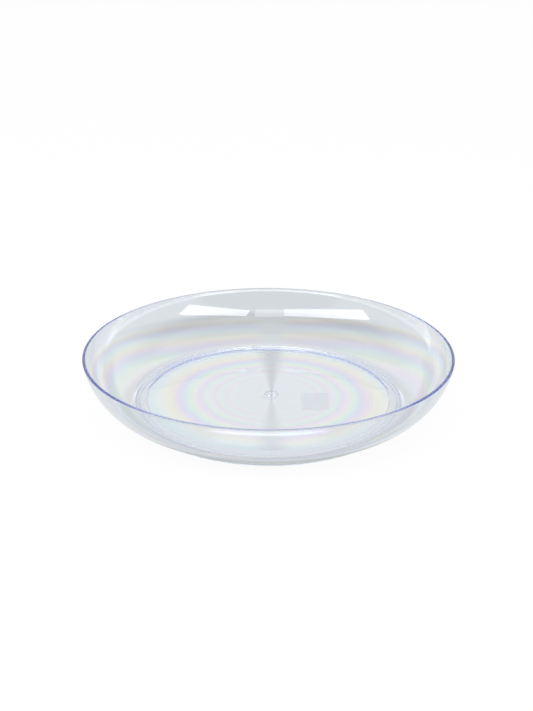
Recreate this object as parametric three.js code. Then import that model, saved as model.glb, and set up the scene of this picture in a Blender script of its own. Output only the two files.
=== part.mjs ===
// Clear plastic plant saucer, injection moulded in one piece.
// Millimetres, +Z up. The origin is on the table, at the middle of the foot ring.
import * as THREE from 'three';

// Driving dimensions of the bowl
const rimRadius = 125; // outside of the rim, so the saucer is 250 mm across
const overallHeight = 42; // table to the top of the rim
const rimThickness = 2.0; // across the half-round lip of the wall
const rimLean = THREE.MathUtils.degToRad(9); // the wall's lean from upright where it meets the lip
const wallThickness = 1.8; // where the wall leaves the toe, from where it thickens evenly up to the lip
const toeWidth = 7.1; // level toe, from the edge of the floor out to the start of the wall
const floorRadius = 83.2; // flat inside floor, out to the foot of its step
const floorThickness = 1.6;
const floorSink = 1.2; // drop from the toe of the wall down to the floor
const stepRun = 0.8; // how far the step leans outwards over that drop
const stepRound = 0.25; // rounding of the step's two edges

// Driving dimensions of the foot ring
const footHeight = 4.2; // underside of the floor above the table
const footOffset = 0.7; // outside of the foot ring beyond the start of the wall
const footThickness = 2.2; // on the table
const footDraft = THREE.MathUtils.degToRad(3); // both faces lean, so the ring leaves its mould
const footRound = 0.3; // rounding of the ring's two edges on the table
const footFillet = 0.5; // hollow rounding where the ring's outer face runs into the wall
const grooveFillet = 0.3; // hollow rounding where its inner face meets the underside

// Driving dimensions of the gate, where the plastic entered the mould
const gateAside = 2.2; // from the middle of the floor towards +X
const gateBehind = 2.8; // and towards +Y
const gateWellRadius = 4.2; // shallow round well in the underside
const gateWellDepth = 0.6;
const gateStubRadius = 1.8; // sheared stub of the runner, which stays inside the well
const gateStubHeight = 0.5;
const gateLensRadius = 3.4; // low lens on the inside, over the well
const gateLensHeight = 0.5;
const gateMargin = 1; // of level face that moves with the gate

// Fineness of the faceted solid
const turnSteps = 96; // around the saucer
const wallSteps = 10; // up each side of the wall
const rimSteps = 6; // over the lip
const cornerSteps = 3; // around each small rounded corner
const lensSteps = 3; // over the gate's lens

// Levels and radii that follow from the dimensions above
const floorUnderside = footHeight;
const floorTop = floorUnderside + floorThickness;
const toeTop = floorTop + floorSink;
const wallStart = toeTop - wallThickness; // level of the wall's outer face at the toe
const toeRadius = floorRadius + toeWidth;
const footRadius = toeRadius + footOffset;
const footInnerRadius = footRadius - footThickness;
const footTopRadius = footRadius + Math.tan(footDraft) * wallStart;
const gateMouthRadius = gateWellRadius + gateWellDepth; // the well's side leans outwards at 45 degrees
const pastFootFillet = 1.5 * footFillet; // from the ring's corner to where the wall is clear of it
const rimRound = rimThickness / 2;
const rimCentreRadius = rimRadius - rimRound;
const rimCentreHeight = overallHeight - rimRound;
const wallReach = rimCentreRadius + rimRound * Math.cos(rimLean) - toeRadius;
const wallTop = rimCentreHeight - rimRound * Math.sin(rimLean);
const wallRise = wallTop - wallStart;
const wallLean = wallRise * Math.tan(rimLean); // share of the reach that comes from the lean

// A point of the section: x is the distance from the middle, y the height.
const at = (radius, height) => new THREE.Vector2(radius, height);

// The wall is a quarter of an ellipse that leans outwards: level at its toe, where the angle is 0,
// and at the rim's lean where it meets the lip. The inner face is the outer one set in by the thickness.
function wallPoint(angle, isInner) {
  const ellipseReach = wallReach - wallLean;
  const radius = toeRadius + ellipseReach * Math.sin(angle) + wallLean * (1 - Math.cos(angle));
  const outer = at(radius, wallTop - wallRise * Math.cos(angle));
  if (!isInner) return outer;
  const outwards = ellipseReach * Math.cos(angle) + wallLean * Math.sin(angle);
  const inward = at(-wallRise * Math.sin(angle), outwards).normalize();
  const rimShare = angle / (Math.PI / 2);
  const thickness = THREE.MathUtils.lerp(wallThickness, rimThickness, rimShare);
  return outer.addScaledVector(inward, thickness);
}

// The wall's angle at a given radius of its outer face
function wallAngle(radius) {
  const ellipseReach = wallReach - wallLean;
  const swing = Math.hypot(ellipseReach, wallLean);
  return Math.atan2(wallLean, ellipseReach) + Math.asin((radius - toeRadius - wallLean) / swing);
}

// Points up one face of the wall, from a given angle to the rim
function wallFace(startAngle, isInner) {
  const points = [];
  for (let step = 0; step <= wallSteps; step += 1) {
    const angle = THREE.MathUtils.lerp(startAngle, Math.PI / 2, step / wallSteps);
    points.push(wallPoint(angle, isInner));
  }
  return points;
}

// The arc that rounds a corner between the lines to the points before and after it
function roundCorner(before, corner, after, radius) {
  const toBefore = before.clone().sub(corner).normalize();
  const toAfter = after.clone().sub(corner).normalize();
  const halfAngle = Math.acos(toBefore.dot(toAfter)) / 2;
  const setback = radius / Math.tan(halfAngle);
  const start = corner.clone().addScaledVector(toBefore, setback);
  const end = corner.clone().addScaledVector(toAfter, setback);
  const bisector = toBefore.add(toAfter).normalize();
  const centre = corner.clone().addScaledVector(bisector, radius / Math.sin(halfAngle));
  const points = [];
  for (let step = 0; step <= cornerSteps; step += 1) {
    const blend = start.clone().lerp(end, step / cornerSteps).sub(centre).setLength(radius);
    points.push(centre.clone().add(blend));
  }
  return points;
}

// Underside of the gate: the stub in its well
function gateUnderside() {
  const wellTop = floorUnderside + gateWellDepth;
  const stubEnd = wellTop - gateStubHeight;
  const wellMouth = at(gateMouthRadius, floorUnderside);
  const stubFoot = at(gateStubRadius, wellTop);
  return [at(0, stubEnd), at(gateStubRadius, stubEnd), stubFoot, at(gateWellRadius, wellTop), wellMouth];
}

// Foot ring, from the level underside round to the start of the wall's outer face
function footRing() {
  const innerTop = at(footInnerRadius - Math.tan(footDraft) * floorUnderside, floorUnderside);
  const innerEdge = at(footInnerRadius, 0);
  const outerEdge = at(footRadius, 0);
  const outerTop = wallPoint(wallAngle(footTopRadius), false);
  const upTheWall = wallPoint(wallAngle(footTopRadius + pastFootFillet), false);
  return [
    ...roundCorner(at(floorRadius, floorUnderside), innerTop, innerEdge, grooveFillet),
    ...roundCorner(innerTop, innerEdge, outerEdge, footRound),
    ...roundCorner(innerEdge, outerEdge, outerTop, footRound),
    ...roundCorner(outerEdge, outerTop, upTheWall, footFillet),
  ];
}

// Half-round lip, from its widest point over the top towards the inner face of the wall
function lip() {
  const points = [];
  for (let step = 0; step < rimSteps; step += 1) {
    const angle = (Math.PI * step) / rimSteps;
    const radius = rimCentreRadius + rimRound * Math.cos(angle);
    points.push(at(radius, rimCentreHeight + rimRound * Math.sin(angle)));
  }
  return points;
}

// Step from the toe of the wall down to the sunk floor
function floorStep() {
  const stepTop = at(floorRadius + stepRun, toeTop);
  const stepFoot = at(floorRadius, floorTop);
  const onToe = at(toeRadius, toeTop);
  const onFloor = at(0, floorTop);
  return [
    ...roundCorner(onToe, stepTop, stepFoot, stepRound),
    ...roundCorner(stepTop, stepFoot, onFloor, stepRound),
  ];
}

// Low lens over the gate, a cap of a large sphere
function gateLens() {
  const sphereRadius = (gateLensRadius ** 2 + gateLensHeight ** 2) / (2 * gateLensHeight);
  const points = [];
  for (let step = 0; step <= lensSteps; step += 1) {
    const radius = gateLensRadius * (1 - step / lensSteps);
    const drop = sphereRadius - Math.sqrt(sphereRadius ** 2 - radius ** 2);
    points.push(at(radius, floorTop + gateLensHeight - drop));
  }
  return points;
}

// The whole section, anticlockwise from the axis underneath to the axis on the inside
function section() {
  const outerFace = wallFace(wallAngle(footTopRadius + pastFootFillet), false);
  const innerFace = wallFace(0, true).reverse();
  return [
    ...gateUnderside(),
    ...footRing(),
    ...outerFace,
    ...lip(),
    ...innerFace,
    ...floorStep(),
    ...gateLens(),
  ];
}

// The gate is a little off the middle. Its own points move, and the level faces round them stay level.
function moveGate(geometry) {
  const points = geometry.attributes.position;
  const gateReach = gateMouthRadius + gateMargin;
  for (let i = 0; i < points.count; i += 1) {
    const x = points.getX(i);
    const y = points.getY(i);
    if (Math.hypot(x, y) < gateReach) {
      points.setXY(i, x + gateAside, y + gateBehind);
    }
  }
}

// The lathe turns its section about Y, so the solid is stood up on Z.
function saucer() {
  const geometry = new THREE.LatheGeometry(section(), turnSteps);
  geometry.rotateX(Math.PI / 2);
  moveGate(geometry);
  const clearPlastic = new THREE.MeshStandardMaterial({
    color: 0xdde6f0,
    roughness: 0.06,
    metalness: 0,
    transparent: true,
    opacity: 0.35,
  });
  const mesh = new THREE.Mesh(geometry, clearPlastic);
  mesh.name = 'saucer';
  return mesh;
}

const plantSaucer = new THREE.Group();
plantSaucer.add(saucer());

export default plantSaucer;
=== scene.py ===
"""Clear plastic plant saucer: finished mesh, clear polystyrene and a plain studio."""
import math

import bpy
from mathutils import Matrix, Vector


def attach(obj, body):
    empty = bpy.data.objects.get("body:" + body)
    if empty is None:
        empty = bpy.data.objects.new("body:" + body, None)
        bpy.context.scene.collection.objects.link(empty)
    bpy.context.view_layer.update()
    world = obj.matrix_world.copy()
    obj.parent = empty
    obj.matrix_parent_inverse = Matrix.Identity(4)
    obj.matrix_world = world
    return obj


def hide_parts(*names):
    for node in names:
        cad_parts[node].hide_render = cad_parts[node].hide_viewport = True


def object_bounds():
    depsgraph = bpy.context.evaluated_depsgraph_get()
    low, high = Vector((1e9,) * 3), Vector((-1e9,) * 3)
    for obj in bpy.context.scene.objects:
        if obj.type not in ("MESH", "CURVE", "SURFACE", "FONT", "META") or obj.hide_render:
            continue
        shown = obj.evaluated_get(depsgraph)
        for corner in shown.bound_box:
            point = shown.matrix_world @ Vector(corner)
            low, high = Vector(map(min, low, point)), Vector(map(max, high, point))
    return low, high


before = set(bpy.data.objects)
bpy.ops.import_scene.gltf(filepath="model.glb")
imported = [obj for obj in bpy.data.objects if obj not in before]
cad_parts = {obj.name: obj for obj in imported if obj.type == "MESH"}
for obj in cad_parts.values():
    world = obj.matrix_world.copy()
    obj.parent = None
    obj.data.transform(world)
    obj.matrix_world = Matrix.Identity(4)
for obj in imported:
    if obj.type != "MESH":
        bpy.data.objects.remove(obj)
cad_low, cad_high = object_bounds()

# Sizes in metres. The rim and the height come from the frame.
MM = 0.001
RIM_RADIUS = cad_high.x
HEIGHT = cad_high.z
RIM_THICKNESS = 2.0 * MM
RIM_LEAN = math.radians(9)
WALL_THICKNESS = 1.8 * MM
TOE_WIDTH = 7.1 * MM
FLOOR_RADIUS = 83.2 * MM
FLOOR_THICKNESS = 1.6 * MM
FLOOR_SINK = 1.2 * MM
STEP_RUN = 0.8 * MM
STEP_ROUND = 0.25 * MM
FOOT_HEIGHT = 4.2 * MM
FOOT_OFFSET = 0.7 * MM
FOOT_THICKNESS = 2.2 * MM
FOOT_DRAFT = math.radians(3)
FOOT_ROUND = 0.3 * MM
FOOT_FILLET = 0.5 * MM
GROOVE_FILLET = 0.3 * MM
GATE_ASIDE = 2.2 * MM
GATE_BEHIND = 2.8 * MM
GATE_WELL_RADIUS = 4.2 * MM
GATE_WELL_DEPTH = 0.6 * MM
GATE_STUB_RADIUS = 1.8 * MM
GATE_STUB_HEIGHT = 0.5 * MM
GATE_LENS_RADIUS = 3.4 * MM
GATE_LENS_HEIGHT = 0.5 * MM
GATE_MARGIN = 1 * MM

# A plain satin panel in the underside
PANEL_MIDDLE = Vector((32 * MM, -9 * MM))
PANEL_HALF = Vector((9.5 * MM, 14 * MM))
PANEL_EDGE = 0.3 * MM

# Fineness of the finished mesh
TURN_STEPS = 320
WALL_STEPS = 36
RIM_STEPS = 14
CORNER_STEPS = 7
LENS_STEPS = 10
FLAT_STEPS = 12
WELD_DISTANCE = 0.001 * MM

# Clear polystyrene: how it bends light, its faint blue on the surface, and the blue of light that runs
# far along the rim, with how much of it is taken up for each metre
BEND = 1.59
CLEAR_TINT = (0.952, 0.975, 1.0)
DEEP_BLUE = (0.05, 0.2, 0.9, 1)
ABSORPTION = 4
LIGHT_BOUNCES = 128

# Frozen stress delays one half of the light against the other, here in nanometres. It is greatest at
# the gate, falls off over a distance on the floor, and on the wall it falls with height. Drift makes it
# uneven in wide patches and streaks in narrow rings. Sizes and heights here are in millimetres.
WAVES = (610, 545, 460)
FLOOR_DELAY = 600
GATE_DELAY = 3400
GATE_DELAY_REACH = 46
WALL_DELAY = 560
WALL_DELAY_PER_MM = 52
BAND_HEIGHT = 16
BAND_LEAN = 1.6
BAND_CLIMB = 11.5
WALL_PATTERN = (7, 12)
DRIFT_SIZE = 60
FLOOR_DRIFT = 260
WALL_DRIFT = 420
STREAK_SIZE = 2.5
FLOOR_STREAKS = 260
WALL_STREAKS = 120

# How strongly the stress colours the light, and the delay past which its colours wash out
CLEARNESS = 0.975
STRESS_DEPTH = 0.12
WALL_FAINTNESS = 0.25
WASHED_OUT = 1900
ARM_DARKNESS = 1.1
ARM_DARKNESS_BEHIND = 0.8

# Roughness of the polished faces, and what smudges, the panel and scuffs add. Smudges and scuffs come
# in patches of a width in millimetres, where their noise passes between two levels.
POLISH = 0.02
SMUDGE_ROUGHNESS = 0.02
SMUDGE_SIZE = 22
SMUDGE_EDGE = (0.5, 0.75)
PANEL_ROUGHNESS = 0.19
SCUFF_ROUGHNESS = 0.15
SCUFF_SIZE = 3
SCUFF_EDGE = (0.35, 0.65)

# Unevenness of the surface in millimetres: its height, and how wide its waves and rings are
WAVE_HEIGHT = 0.05
WAVE_SIZE = 30
RING_HEIGHT = 0.0015
RING_SIZE = 1.2

# Light that reaches matt surfaces from all round, and the faint blue of what clear plastic shows
AMBIENT = 0.4
SHADE = (0.965, 0.985, 1, 1)

# The table as clear plastic shows it, as shares of white: its level near the saucer, lowered as painted
# shade, the painted shades that take off it, and the painted light that stands for light the saucer gathers
SHADED_TABLE_LEVEL = 0.84
FAR_TABLE_LEVEL = 1.1
SHADE_AT_FOOT = 0.12
SHADE_AT_FRONT_OF_FOOT = 0.14
LIGHT_LINE_BEHIND_FOOT = 0.4
SHADE_BEHIND = 0.05
SHADES_CLOSE_BEHIND = (0.05, 0.08, 0.07)
LIGHT_POOL_IN_FRONT = 0.5
LIGHT_ARC_IN_FRONT = 2.7

# Rings of painted shade and painted light on the table in millimetres from the middle: where each starts,
# is full, starts to fade and ends
UNDER_FOOT = (83, 87, 98, 107)
OUTSIDE_FOOT = (95, 96.5, 98, 107)
LIGHT_LINE_RING = (92.8, 93.4, 95, 95.6)
CLOSE_BEHIND_RINGS = ((95, 115, 172, 190), (124, 134, 172, 190), (149, 159, 172, 190))
LIGHT_ARC_RING = (151, 156, 159, 163)

# Distances in millimetres past which a level holds, between where it starts and where it is full
BEHIND_STARTS = (95, 115)
LIGHT_POOL_STARTS = (125, 137)
FAR_TABLE_STARTS = (300, 420)

# Directions on the table from -1 in front to 1 behind: where each part starts and is full
FRONT_HALF = (0.3, -0.3)
BACK_HALF = (-0.1, 0.3)
FRONT = (-0.5, -0.9)
BEHIND = (0.6, 0.98)
LIGHT_POOL_SIDES = (-0.92, -0.97)
LIGHT_ARC_SIDES = (-0.9, -0.985)

# The surround as gloss and clear plastic show it, as shares of white: the level at the horizon, and the
# changes above it, each with the heights of the line of sight between which it comes in
LEVELS_BEHIND = (1.0, (-0.5, 0.04, 0.12), (0.5, 0.26, 0.34), (-0.1, 0.6, 0.75))
LEVELS_LEFT = (0.6, (0.1, 0.1, 0.2), (-0.2, 0.45, 0.6), (0.4, 0.7, 0.8))
LEVELS_RIGHT = (0.75, (-0.05, 0.1, 0.2), (-0.2, 0.45, 0.6), (0.4, 0.7, 0.8))
LEVELS_IN_FRONT = (4.4, (-4.2, 0.025, 0.06), (0.25, 0.55, 0.65), (0.45, 0.8, 0.88))
HORIZON_AT_SIDES = (1.2, (-1.2, 0.04, 0.09))

# Radiance of the softboxes, where white is 1
SIDE_SOFTBOX = 3.2
MIDDLE_SOFTBOX = 1.4

# Levels and radii that follow from the sizes
FLOOR_TOP = FOOT_HEIGHT + FLOOR_THICKNESS
TOE_TOP = FLOOR_TOP + FLOOR_SINK
WALL_START = TOE_TOP - WALL_THICKNESS
TOE_RADIUS = FLOOR_RADIUS + TOE_WIDTH
FOOT_RADIUS = TOE_RADIUS + FOOT_OFFSET
FOOT_INNER_RADIUS = FOOT_RADIUS - FOOT_THICKNESS
FOOT_TOP_RADIUS = FOOT_RADIUS + math.tan(FOOT_DRAFT) * WALL_START
GATE_MOUTH_RADIUS = GATE_WELL_RADIUS + GATE_WELL_DEPTH
PAST_FOOT_FILLET = 1.5 * FOOT_FILLET
RIM_ROUND = RIM_THICKNESS / 2
RIM_CENTRE = Vector((RIM_RADIUS - RIM_ROUND, HEIGHT - RIM_ROUND))
WALL_REACH = RIM_CENTRE.x + RIM_ROUND * math.cos(RIM_LEAN) - TOE_RADIUS
WALL_TOP = RIM_CENTRE.y - RIM_ROUND * math.sin(RIM_LEAN)
WALL_RISE = WALL_TOP - WALL_START
WALL_LEAN = WALL_RISE * math.tan(RIM_LEAN)
ELLIPSE_REACH = WALL_REACH - WALL_LEAN


def wall_point(angle, inner):
    """A point of the wall's leaning quarter ellipse, from its toe at angle 0 up to the lip."""
    radius = TOE_RADIUS + ELLIPSE_REACH * math.sin(angle) + WALL_LEAN * (1 - math.cos(angle))
    outer = Vector((radius, WALL_TOP - WALL_RISE * math.cos(angle)))
    if not inner:
        return outer
    outwards = ELLIPSE_REACH * math.cos(angle) + WALL_LEAN * math.sin(angle)
    inward = Vector((-WALL_RISE * math.sin(angle), outwards)).normalized()
    share = angle / (math.pi / 2)
    return outer + inward * (WALL_THICKNESS + (RIM_THICKNESS - WALL_THICKNESS) * share)


def wall_angle(radius):
    swing = math.hypot(ELLIPSE_REACH, WALL_LEAN)
    return math.atan2(WALL_LEAN, ELLIPSE_REACH) + math.asin((radius - TOE_RADIUS - WALL_LEAN) / swing)


def wall_face(start, inner):
    steps = [start + (math.pi / 2 - start) * i / WALL_STEPS for i in range(WALL_STEPS + 1)]
    return [wall_point(angle, inner) for angle in steps]


def rounded(before, corner, after, radius):
    """The arc that rounds a corner between the points before and after it."""
    to_before = (before - corner).normalized()
    to_after = (after - corner).normalized()
    half = to_before.angle(to_after) / 2
    start = corner + to_before * radius / math.tan(half)
    end = corner + to_after * radius / math.tan(half)
    centre = corner + (to_before + to_after).normalized() * radius / math.sin(half)
    spread = (start - centre).angle_signed(end - centre)
    turns = [Matrix.Rotation(-spread * i / CORNER_STEPS, 2) for i in range(CORNER_STEPS + 1)]
    return [centre + turn @ (start - centre) for turn in turns]


def flat(start, end):
    """Even points between two ends, which keep the shading of a flat face flat."""
    return [start.lerp(end, i / FLAT_STEPS) for i in range(1, FLAT_STEPS)]


def gate_underside():
    well_top = FOOT_HEIGHT + GATE_WELL_DEPTH
    stub_end = well_top - GATE_STUB_HEIGHT
    edge = 0.12 * MM
    stub_edge = Vector((GATE_STUB_RADIUS, stub_end))
    stub_foot = Vector((GATE_STUB_RADIUS, well_top))
    well_side = Vector((GATE_WELL_RADIUS, well_top))
    well_mouth = Vector((GATE_MOUTH_RADIUS, FOOT_HEIGHT))
    outwards = Vector((FLOOR_RADIUS, FOOT_HEIGHT))
    return [
        Vector((0, stub_end)),
        *rounded(Vector((0, stub_end)), stub_edge, stub_foot, edge),
        *rounded(stub_edge, stub_foot, well_side, edge),
        *rounded(stub_foot, well_side, well_mouth, 2 * edge),
        *rounded(well_side, well_mouth, outwards, 2 * edge),
    ]


def foot_ring():
    lean = math.tan(FOOT_DRAFT)
    inner_top = Vector((FOOT_INNER_RADIUS - lean * FOOT_HEIGHT, FOOT_HEIGHT))
    inner_edge = Vector((FOOT_INNER_RADIUS, 0))
    outer_edge = Vector((FOOT_RADIUS, 0))
    outer_top = wall_point(wall_angle(FOOT_TOP_RADIUS), False)
    up_the_wall = wall_point(wall_angle(FOOT_TOP_RADIUS + PAST_FOOT_FILLET), False)
    return [
        *rounded(Vector((FLOOR_RADIUS, FOOT_HEIGHT)), inner_top, inner_edge, GROOVE_FILLET),
        *rounded(inner_top, inner_edge, outer_edge, FOOT_ROUND),
        *rounded(inner_edge, outer_edge, outer_top, FOOT_ROUND),
        *rounded(outer_edge, outer_top, up_the_wall, FOOT_FILLET),
    ]


def lip():
    angles = [math.pi * i / RIM_STEPS for i in range(RIM_STEPS)]
    return [RIM_CENTRE + Vector((math.cos(a), math.sin(a))) * RIM_ROUND for a in angles]


def floor_step():
    step_top = Vector((FLOOR_RADIUS + STEP_RUN, TOE_TOP))
    step_foot = Vector((FLOOR_RADIUS, FLOOR_TOP))
    return [
        *rounded(Vector((TOE_RADIUS, TOE_TOP)), step_top, step_foot, STEP_ROUND),
        *rounded(step_top, step_foot, Vector((0, FLOOR_TOP)), STEP_ROUND),
    ]


def gate_lens():
    sphere = (GATE_LENS_RADIUS**2 + GATE_LENS_HEIGHT**2) / (2 * GATE_LENS_HEIGHT)
    radii = [GATE_LENS_RADIUS * (1 - i / LENS_STEPS) for i in range(LENS_STEPS + 1)]
    return [
        Vector((r, FLOOR_TOP + GATE_LENS_HEIGHT - sphere + math.sqrt(sphere**2 - r**2))) for r in radii
    ]


def section():
    """Half of the saucer's section, anticlockwise from the axis underneath to the axis on the inside."""
    well = gate_underside()
    ring = foot_ring()
    step = floor_step()
    lens = gate_lens()
    return [
        *well,
        *flat(well[-1], ring[0]),
        *ring,
        *wall_face(wall_angle(FOOT_TOP_RADIUS + PAST_FOOT_FILLET), False),
        *lip(),
        *reversed(wall_face(0, True)),
        *step,
        *flat(step[-1], lens[0]),
        *lens,
    ]


class Tree:
    """A node tree that is built by calls: settings first, then the sockets."""

    def __init__(self, nodes, links):
        self.nodes = nodes
        self.links = links

    def add(self, kind, settings=None, sockets=None, output=0):
        node = self.nodes.new(kind)
        for name, value in (settings or {}).items():
            setattr(node, name, value)
        for name, value in (sockets or {}).items():
            self.set(node.inputs[name], value)
        return Wire(self, node.outputs[output]) if node.outputs else node

    def set(self, socket, value):
        if isinstance(value, Wire):
            self.links.new(value.socket, socket)
        else:
            socket.default_value = value


class Wire:
    """An output socket that takes part in Python expressions, which add its Math nodes."""

    def __init__(self, tree, socket):
        self.tree = tree
        self.socket = socket

    @property
    def node(self):
        return self.socket.node

    def maths(self, operation, *values):
        kind = "ShaderNodeMath"
        settings = {"operation": operation}
        return self.tree.add(kind, settings, dict(enumerate(values)))

    def __add__(self, other):
        return self.maths("ADD", self, other)

    def __radd__(self, other):
        return self.maths("ADD", other, self)

    def __sub__(self, other):
        return self.maths("SUBTRACT", self, other)

    def __rsub__(self, other):
        return self.maths("SUBTRACT", other, self)

    def __mul__(self, other):
        return self.maths("MULTIPLY", self, other)

    def __rmul__(self, other):
        return self.maths("MULTIPLY", other, self)

    def __truediv__(self, other):
        return self.maths("DIVIDE", self, other)

    def __pow__(self, other):
        return self.maths("POWER", self, other)

    def __neg__(self):
        return self.maths("MULTIPLY", self, -1.0)

    def cos(self):
        return self.maths("COSINE", self)

    def sin(self):
        return self.maths("SINE", self)

    def abs(self):
        return self.maths("ABSOLUTE", self)

    def exp(self):
        return self.maths("EXPONENT", self)

    def root(self):
        return self.maths("SQRT", self)

    def at_least(self, other):
        return self.maths("MAXIMUM", self, other)

    def at_most(self, other):
        return self.maths("MINIMUM", self, other)

    def modulo(self, other):
        return self.maths("MODULO", self, other)

    def floor(self):
        return self.maths("FLOOR", self)

    def step(self, low, high):
        """0 below low, 1 above high and smooth between them. low may be above high."""
        sockets = {"Value": self, "From Min": low, "From Max": high}
        return self.tree.add("ShaderNodeMapRange", {"interpolation_type": "SMOOTHSTEP"}, sockets)


def empty_tree(owner):
    """The cleared node tree of a material or a world."""
    owner.use_nodes = True
    owner.node_tree.nodes.clear()
    return Tree(owner.node_tree.nodes, owner.node_tree.links)


def turned_tree():
    """Turns a section about Z: one copy of its points for each step of the turn, welded at the seam."""
    group = bpy.data.node_groups.new("turned_moulding", "GeometryNodeTree")
    inputs = {"Section": "Geometry", "Turn Steps": "Int", "Weld Distance": "Float", "Gate Reach": "Float"}
    inputs.update({"Gate Aside": "Float", "Gate Behind": "Float", "Finish": "Material"})
    for name, kind in inputs.items():
        group.interface.new_socket(name, in_out="INPUT", socket_type="NodeSocket" + kind)
    group.interface.new_socket("Moulding", in_out="OUTPUT", socket_type="NodeSocketGeometry")
    tree = Tree(group.nodes, group.links)
    given = group.nodes.new("NodeGroupInput")
    wires = [Wire(tree, given.outputs[name]) for name in inputs]
    source, turn_steps, weld, gate_reach, gate_aside, gate_behind, finish = wires
    points = tree.add("GeometryNodeAttributeDomainSize", {"component": "MESH"}, {"Geometry": source})
    rings = turn_steps + 1
    sizes = {"Size X": 1.0, "Size Y": 1.0, "Vertices X": points, "Vertices Y": rings}
    grid = tree.add("GeometryNodeMeshGrid", None, sizes)
    index = tree.add("GeometryNodeInputIndex")
    along = (index / rings).floor()
    turn = index.modulo(rings) / turn_steps * -math.tau
    sampling = {"data_type": "FLOAT_VECTOR", "domain": "POINT"}
    sockets = {"Geometry": source, "Value": tree.add("GeometryNodeInputPosition"), "Index": along}
    sampled = tree.add("GeometryNodeSampleIndex", sampling, sockets).node
    split = tree.add("ShaderNodeSeparateXYZ", None, {"Vector": Wire(tree, sampled.outputs["Value"])}).node
    radius = Wire(tree, split.outputs["X"])
    height = Wire(tree, split.outputs["Z"])
    at_gate = radius.maths("LESS_THAN", radius, gate_reach)
    across = radius * turn.cos() + at_gate * gate_aside
    behind = radius * turn.sin() + at_gate * gate_behind
    placed = tree.add("ShaderNodeCombineXYZ", None, {"X": across, "Y": behind, "Z": height})
    moved = tree.add("GeometryNodeSetPosition", None, {"Geometry": grid, "Position": placed})
    welded = tree.add("GeometryNodeMergeByDistance", None, {"Geometry": moved, "Distance": weld})
    smooth = tree.add("GeometryNodeSetShadeSmooth", None, {"Geometry": welded, "Shade Smooth": True})
    realized = tree.add("GeometryNodeRealizeInstances", None, {"Geometry": smooth})
    finished = tree.add("GeometryNodeSetMaterial", None, {"Geometry": realized, "Material": finish})
    result = group.nodes.new("NodeGroupOutput")
    tree.set(result.inputs["Moulding"], finished)
    return group


def mesh_object(name, points, edges, faces):
    mesh = bpy.data.meshes.new(name)
    mesh.from_pydata(points, edges, faces)
    made = bpy.data.objects.new(name, mesh)
    bpy.context.scene.collection.objects.link(made)
    return made


def turned(name, outline, finish):
    """A plain mesh of the outline turned about Z, made by Geometry Nodes and then set free of them."""
    points = [(p.x, 0, p.y) for p in outline]
    edges = [(i, i + 1) for i in range(len(points) - 1)]
    made = mesh_object(name, points, edges, [])
    group = turned_tree()
    modifier = made.modifiers.new("turned", "NODES")
    modifier.node_group = group
    values = {"Turn Steps": TURN_STEPS, "Weld Distance": WELD_DISTANCE, "Finish": finish}
    values["Gate Reach"] = GATE_MOUTH_RADIUS + GATE_MARGIN
    values.update({"Gate Aside": GATE_ASIDE, "Gate Behind": GATE_BEHIND})
    inputs = {item.name: item.identifier for item in group.interface.items_tree if item.in_out == "INPUT"}
    for socket, value in values.items():
        modifier[inputs[socket]] = value
    evaluated = made.evaluated_get(bpy.context.evaluated_depsgraph_get())
    mesh = bpy.data.meshes.new_from_object(evaluated)
    made.modifiers.clear()
    made.data = mesh
    mesh.name = name
    return made


class Plastic:
    """Places on the saucer in millimetres, from its own coordinates, for the patterns of its material."""

    def __init__(self, tree):
        self.tree = tree
        self.place = tree.add("ShaderNodeTexCoord", output=3)
        split = tree.add("ShaderNodeSeparateXYZ", None, {"Vector": self.place}).node
        self.x, self.y, self.z = [Wire(tree, socket) / MM for socket in split.outputs]
        self.radius = (self.x * self.x + self.y * self.y).root()
        self.sideways = self.x / self.radius.at_least(1)
        self.behind = self.y / self.radius.at_least(1)
        step_foot = FLOOR_RADIUS / MM
        self.on_floor = self.radius.step(step_foot, step_foot - 1)
        self.on_wall = self.radius.step(*[step_foot + beyond for beyond in WALL_PATTERN])

    def noise(self, size, detail=2):
        """Smooth noise from 0 to 1 whose patches are size millimetres wide."""
        sockets = {"Vector": self.place, "Scale": 1 / (size * MM), "Detail": detail}
        return self.tree.add("ShaderNodeTexNoise", None, sockets)

    def rings(self, size):
        """Noise from 0 to 1 that goes round the saucer in rings about size millimetres wide."""
        across = {"X": self.radius / size, "Y": self.z / size, "Z": 0}
        place = self.tree.add("ShaderNodeCombineXYZ", None, across)
        return self.tree.add("ShaderNodeTexNoise", None, {"Vector": place, "Scale": 1, "Detail": 3})


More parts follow.
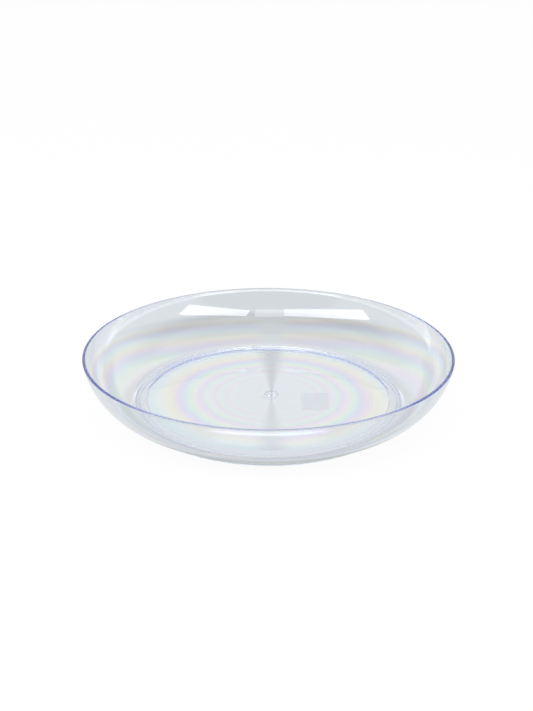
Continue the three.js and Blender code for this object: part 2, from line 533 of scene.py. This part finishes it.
def frozen_stress(plastic):
    """Colours of the stress frozen into the moulding: each wavelength is light or dark by its delay."""
    drift = plastic.noise(DRIFT_SIZE) - 0.5
    streaks = plastic.rings(STREAK_SIZE) - 0.5
    aside = plastic.x - GATE_ASIDE / MM
    from_gate = (aside * aside + plastic.y * plastic.y).root()
    near_gate = (-((from_gate / GATE_DELAY_REACH) ** 2)).exp()
    floor_delay = FLOOR_DELAY + GATE_DELAY * near_gate + FLOOR_DRIFT * drift + FLOOR_STREAKS * streaks

    # The wall's bands lie low behind and climb towards both sides, a little more towards the right.
    climb = BAND_LEAN * plastic.sideways + BAND_CLIMB * plastic.sideways * plastic.sideways
    wall_delay = WALL_DELAY + WALL_DELAY_PER_MM * (BAND_HEIGHT + climb - plastic.z)
    wall_delay = wall_delay + WALL_DRIFT * drift + WALL_STREAKS * streaks
    delay = floor_delay + (wall_delay - floor_delay) * plastic.on_wall

    # The colours fade into two grey arms, in front of the gate and behind it, but not on the front wall.
    beside_arms = (aside.abs() / from_gate.at_least(1)).step(0, 0.2)
    coloured_wall = wall_delay.step(240, 420) * beside_arms.at_least(plastic.behind.step(0, -0.5))
    coloured = plastic.on_floor * beside_arms + plastic.on_wall * coloured_wall
    washed_out = (-((delay / WASHED_OUT) ** 2)).exp()
    depth = STRESS_DEPTH * coloured * washed_out * (1 - WALL_FAINTNESS * plastic.on_wall)
    darkness = ARM_DARKNESS + ARM_DARKNESS_BEHIND * plastic.behind.step(0, 1)
    level = CLEARNESS - STRESS_DEPTH * darkness * plastic.on_floor * (1 - beside_arms)
    swings = [(delay * (math.tau / wave)).cos() for wave in WAVES]
    red, green, blue = [tint * (level - depth * swing) for tint, swing in zip(CLEAR_TINT, swings)]
    return plastic.tree.add("ShaderNodeCombineColor", None, {"Red": red, "Green": green, "Blue": blue})


def satin_panel(plastic):
    """1 on the plain panel in the underside, 0 past its edges and on the upper side."""
    middle = PANEL_MIDDLE / MM
    half = PANEL_HALF / MM
    edge = PANEL_EDGE / MM
    inside_floor = (FLOOR_TOP - FLOOR_THICKNESS / 2) / MM
    across = (plastic.x - middle.x).abs().step(half.x + edge, half.x - edge)
    along = (plastic.y - middle.y).abs().step(half.y + edge, half.y - edge)
    return across * along * plastic.z.step(inside_floor + 0.1, inside_floor - 0.1)


def surface_roughness(plastic):
    """Polished all over but for smudges, the plain satin panel and a scuffed foot."""
    smudges = plastic.noise(SMUDGE_SIZE, detail=4).step(*SMUDGE_EDGE)
    on_foot = plastic.z.step(FOOT_ROUND / MM, 0.1)
    scuffs = on_foot * plastic.noise(SCUFF_SIZE, detail=3).step(*SCUFF_EDGE)
    added = SMUDGE_ROUGHNESS * smudges + PANEL_ROUGHNESS * satin_panel(plastic) + SCUFF_ROUGHNESS * scuffs
    return POLISH + added


def surface_waves(plastic):
    """Faint unevenness in millimetres: shallow waves from cooling, and fine rings from a turned mould."""
    return WAVE_HEIGHT * plastic.noise(WAVE_SIZE) + RING_HEIGHT * plastic.rings(RING_SIZE)


def clear_polystyrene():
    """Clear, faintly blue moulded polystyrene with pale rainbow bands of frozen stress."""
    material = bpy.data.materials.new("clear_polystyrene")
    tree = empty_tree(material)
    plastic = Plastic(tree)
    bump = {"Height": surface_waves(plastic), "Distance": MM, "Strength": 1}
    surface = {
        "Base Color": frozen_stress(plastic),
        "Transmission Weight": 1,
        "IOR": BEND,
        "Roughness": surface_roughness(plastic),
        "Normal": tree.add("ShaderNodeBump", None, bump),
    }
    shader = tree.add("ShaderNodeBsdfPrincipled", None, surface)
    depth = tree.add("ShaderNodeVolumeAbsorption", None, {"Color": DEEP_BLUE, "Density": ABSORPTION})
    output = tree.nodes.new("ShaderNodeOutputMaterial")
    tree.set(output.inputs["Surface"], shader)
    tree.set(output.inputs["Volume"], depth)
    return material


def sight(tree, beyond):
    """White for the camera, beyond for rays from gloss or clear plastic, 0 for rays that only light."""
    path = tree.nodes.new("ShaderNodeLightPath")
    kinds = ("Is Camera Ray", "Is Glossy Ray", "Is Transmission Ray")
    camera, glossy, clear = [Wire(tree, path.outputs[name]) for name in kinds]
    scattered = Wire(tree, path.outputs["Diffuse Depth"]).at_most(1)
    level = (camera + glossy.at_least(clear) * (1 - camera) * beyond) * (1 - scattered)
    colour = tree.add("ShaderNodeMix", {"data_type": "RGBA"}, None).node
    tree.set(colour.inputs[0], camera)
    tree.set(colour.inputs[6], SHADE)
    tree.set(colour.inputs[7], (1, 1, 1, 1))
    return level, camera.at_least(glossy).at_least(clear), Wire(tree, colour.outputs[2])


class Table:
    """Places on the table: millimetres from the saucer's middle, and from -1 in front to 1 behind."""

    def __init__(self, tree):
        place = tree.add("ShaderNodeTexCoord", output=3)
        reach = tree.add("ShaderNodeVectorMath", {"operation": "LENGTH"}, {0: place}, output=1)
        split = tree.add("ShaderNodeSeparateXYZ", None, {"Vector": place}).node
        self.distance = reach / MM
        self.backwards = Wire(tree, split.outputs["Y"]) / reach.at_least(MM)

    def ring(self, starts, full, fades, ends):
        return self.distance.step(starts, full) * self.distance.step(ends, fades)

    def foot_shade(self):
        """Painted shade under and round the foot in front, and only outside it behind."""
        under = self.ring(*UNDER_FOOT)
        outside = self.ring(*OUTSIDE_FOOT)
        nearer = outside + (under - outside) * self.backwards.step(*FRONT_HALF)
        return SHADE_AT_FOOT * nearer + SHADE_AT_FRONT_OF_FOOT * under * self.backwards.step(*FRONT)

    def shade_behind(self):
        """Painted shade behind the saucer, which deepens ring by ring."""
        shade = SHADE_BEHIND * self.distance.step(*BEHIND_STARTS)
        for amount, ring in zip(SHADES_CLOSE_BEHIND, CLOSE_BEHIND_RINGS):
            shade = shade + amount * self.ring(*ring)
        return shade * self.backwards.step(*BEHIND)

    def painted_light(self):
        """Painted light: a thin bright line behind the foot, a pool of light in front and a bright arc in
        the pool.
        """
        line = LIGHT_LINE_BEHIND_FOOT * self.backwards.step(*BACK_HALF) * self.ring(*LIGHT_LINE_RING)
        pool = LIGHT_POOL_IN_FRONT * self.backwards.step(*LIGHT_POOL_SIDES) * self.distance.step(*LIGHT_POOL_STARTS)
        arc = LIGHT_ARC_IN_FRONT * self.backwards.step(*LIGHT_ARC_SIDES) * self.ring(*LIGHT_ARC_RING)
        return line + pool + arc

    # The near table's painted shade and painted light, turning into the brighter plain table far away
    def level(self):
        near = SHADED_TABLE_LEVEL - self.foot_shade() - self.shade_behind() + self.painted_light()
        return near + (FAR_TABLE_LEVEL - near) * self.distance.step(*FAR_TABLE_STARTS)


def pale_floor():
    """A white table that keeps the saucer's faint shadow, with painted shade and painted light in what
    gloss and clear plastic show of it.
    """
    floor_level = -0.05 * MM
    reach = 6.0
    paint = 0.86
    lit_share = 0.9
    brightness = 1.06
    corners = [(-reach, -reach), (reach, -reach), (reach, reach), (-reach, reach)]
    floor = mesh_object("studio_floor", [(x, y, floor_level) for x, y in corners], [], [(0, 1, 2, 3)])
    material = bpy.data.materials.new("white_table")
    tree = empty_tree(material)
    level, seen, colour = sight(tree, Table(tree).level())
    matt = tree.add("ShaderNodeBsdfDiffuse", None, {"Color": (paint, paint, paint, 1)})
    white = tree.add("ShaderNodeEmission", None, {"Color": colour, "Strength": level * brightness})
    mixed = tree.add("ShaderNodeMixShader", None, {0: seen * lit_share, 1: matt, 2: white})
    output = tree.nodes.new("ShaderNodeOutputMaterial")
    tree.set(output.inputs["Surface"], mixed)
    floor.data.materials.append(material)


def profile(height, base, *changes):
    """A level that starts at the base, with each change coming in between two heights."""
    level = base
    for change, low, high in changes:
        level = level + change * height.step(low, high)
    return level


def white_surround():
    """Bright along the horizon, most of all on the camera's side, dimmer above, and a soft even light."""
    world = bpy.data.worlds.new("studio")
    bpy.context.scene.world = world
    tree = empty_tree(world)
    direction = tree.add("ShaderNodeTexCoord", output=0)
    split = tree.add("ShaderNodeSeparateXYZ", None, {"Vector": direction}).node
    sideways, forwards, upwards = [Wire(tree, socket) for socket in split.outputs]
    behind = profile(upwards, *LEVELS_BEHIND)
    left = profile(upwards, *LEVELS_LEFT)
    right = profile(upwards, *LEVELS_RIGHT)
    in_front = profile(upwards, *LEVELS_IN_FRONT)
    sides = left + (right - left) * sideways.step(-0.2, 0.2) + profile(upwards, *HORIZON_AT_SIDES)
    ahead = behind + (sides - behind) * forwards.step(0.75, 0.6)
    level, seen, colour = sight(tree, ahead + (in_front - ahead) * forwards.step(-0.6, -0.75))
    strength = level + AMBIENT * (1 - seen)
    light = tree.add("ShaderNodeBackground", None, {"Color": colour, "Strength": strength})
    output = tree.nodes.new("ShaderNodeOutputWorld")
    tree.set(output.inputs["Surface"], light)


def softbox(name, near_end, far_end, width, radiance):
    """A long lamp of even radiance between two points, turned about its length to face the saucer."""
    near = Vector(near_end)
    far = Vector(far_end)
    along = (far - near).normalized()
    centre = (near + far) / 2
    facing = (along * centre.dot(along) - centre).normalized()
    across = facing.cross(along)
    length = (far - near).length
    lamp = bpy.data.lights.new(name, "AREA")
    lamp.shape = "RECTANGLE"
    lamp.size = length
    lamp.size_y = width
    lamp.energy = radiance * math.pi * length * width
    made = bpy.data.objects.new(name, lamp)
    made.matrix_world = Matrix.Translation(centre) @ Matrix((along, -across, -facing)).transposed().to_4x4()
    made.visible_camera = False
    bpy.context.scene.collection.objects.link(made)


def studio():
    """A table, a surround and three softboxes above the camera's side, their ends given in metres."""
    side_width = 0.36
    middle_width = 0.4
    pale_floor()
    white_surround()
    softbox("right_softbox", (0.4, -1.25, 1.39), (1.04, -0.53, 0.44), side_width, SIDE_SOFTBOX)
    softbox("left_softbox", (-0.235, -1.0, 1.1), (-1.24, -0.36, 0.49), side_width, SIDE_SOFTBOX)
    softbox("middle_softbox", (0.22, -1.03, 1.18), (-0.24, -1.03, 1.18), middle_width, MIDDLE_SOFTBOX)


def photo_camera():
    """The photograph's own view, fitted to the rim and to the ring round the floor."""
    distance = 5.38 * RIM_RADIUS
    elevation = math.radians(22.128)
    pitch = math.radians(22.638)
    yaw = math.radians(-0.122)
    roll = math.radians(0.167)
    focal_pixels = 988.7
    long_side_pixels = 711
    lens = bpy.data.cameras.new("photo_camera")
    lens.sensor_width = 36
    lens.lens = lens.sensor_width * focal_pixels / long_side_pixels
    lens.clip_start = 0.01
    made = bpy.data.objects.new("photo_camera", lens)
    away = Vector((0, -math.cos(elevation), math.sin(elevation))) * distance
    place = Matrix.Translation(Vector((0, 0, HEIGHT)) + away)
    aim = Matrix.Rotation(-yaw, 4, "Z") @ Matrix.Rotation(math.pi / 2 - pitch, 4, "X")
    made.matrix_world = place @ aim @ Matrix.Rotation(roll, 4, "Z")
    bpy.context.scene.collection.objects.link(made)
    bpy.context.scene.camera = made


bpy.context.scene.view_settings.view_transform = "Standard"
bpy.context.scene.cycles.max_bounces = LIGHT_BOUNCES
bpy.context.scene.cycles.glossy_bounces = LIGHT_BOUNCES
bpy.context.scene.cycles.transmission_bounces = LIGHT_BOUNCES
photo_camera()
studio()
saucer = turned("clear_saucer", section(), clear_polystyrene())
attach(saucer, "root")
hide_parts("saucer")
